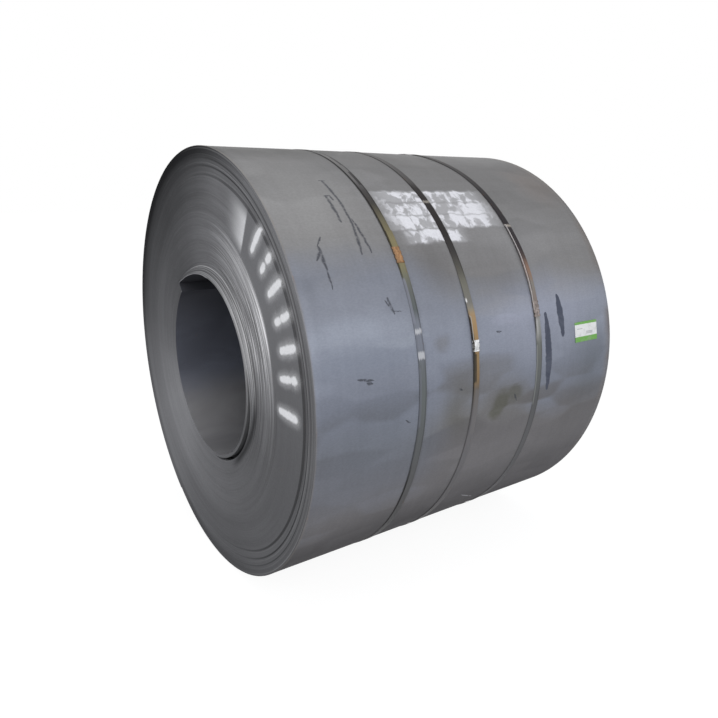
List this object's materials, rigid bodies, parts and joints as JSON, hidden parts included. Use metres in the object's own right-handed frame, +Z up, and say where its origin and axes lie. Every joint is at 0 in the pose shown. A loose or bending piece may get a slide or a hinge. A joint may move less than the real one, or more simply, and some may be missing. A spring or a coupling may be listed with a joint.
{
  "type": "steel sheet coil",
  "caption": "Coil of hot-rolled steel sheet lying on its side, with an open round bore, strapped round the outside with sealed steel bands and carrying a paper label.",
  "frame": {"origin": "centre of the bounding box in plan, on the floor under the middle of the coil", "axes": "+Z up, +Y along the bore axis from the end with the sprayed marks to the plain end, +X towards the side with the label and the strap seals"},
  "size_m": [1.7726, 1.524, 1.7725],
  "materials": {
    "rolled_steel": "hot-rolled mill scale, satin grey, bright along the turn edges",
    "strapping": "dark waxed strapping, rusting in patches",
    "seal_steel": "bare and rusted crimped steel",
    "label_paper": "matte printed paper with green bands"
  },
  "bodies": {
    "root": {"sheet_coil": "rolled_steel", "strap_1": "strapping", "strap_2": "strapping", "strap_3": "strapping", "strap_seal_1": "seal_steel", "strap_seal_2": "seal_steel", "strap_seal_3": "seal_steel", "paper_label": "label_paper"}
  },
  "joints": []
}
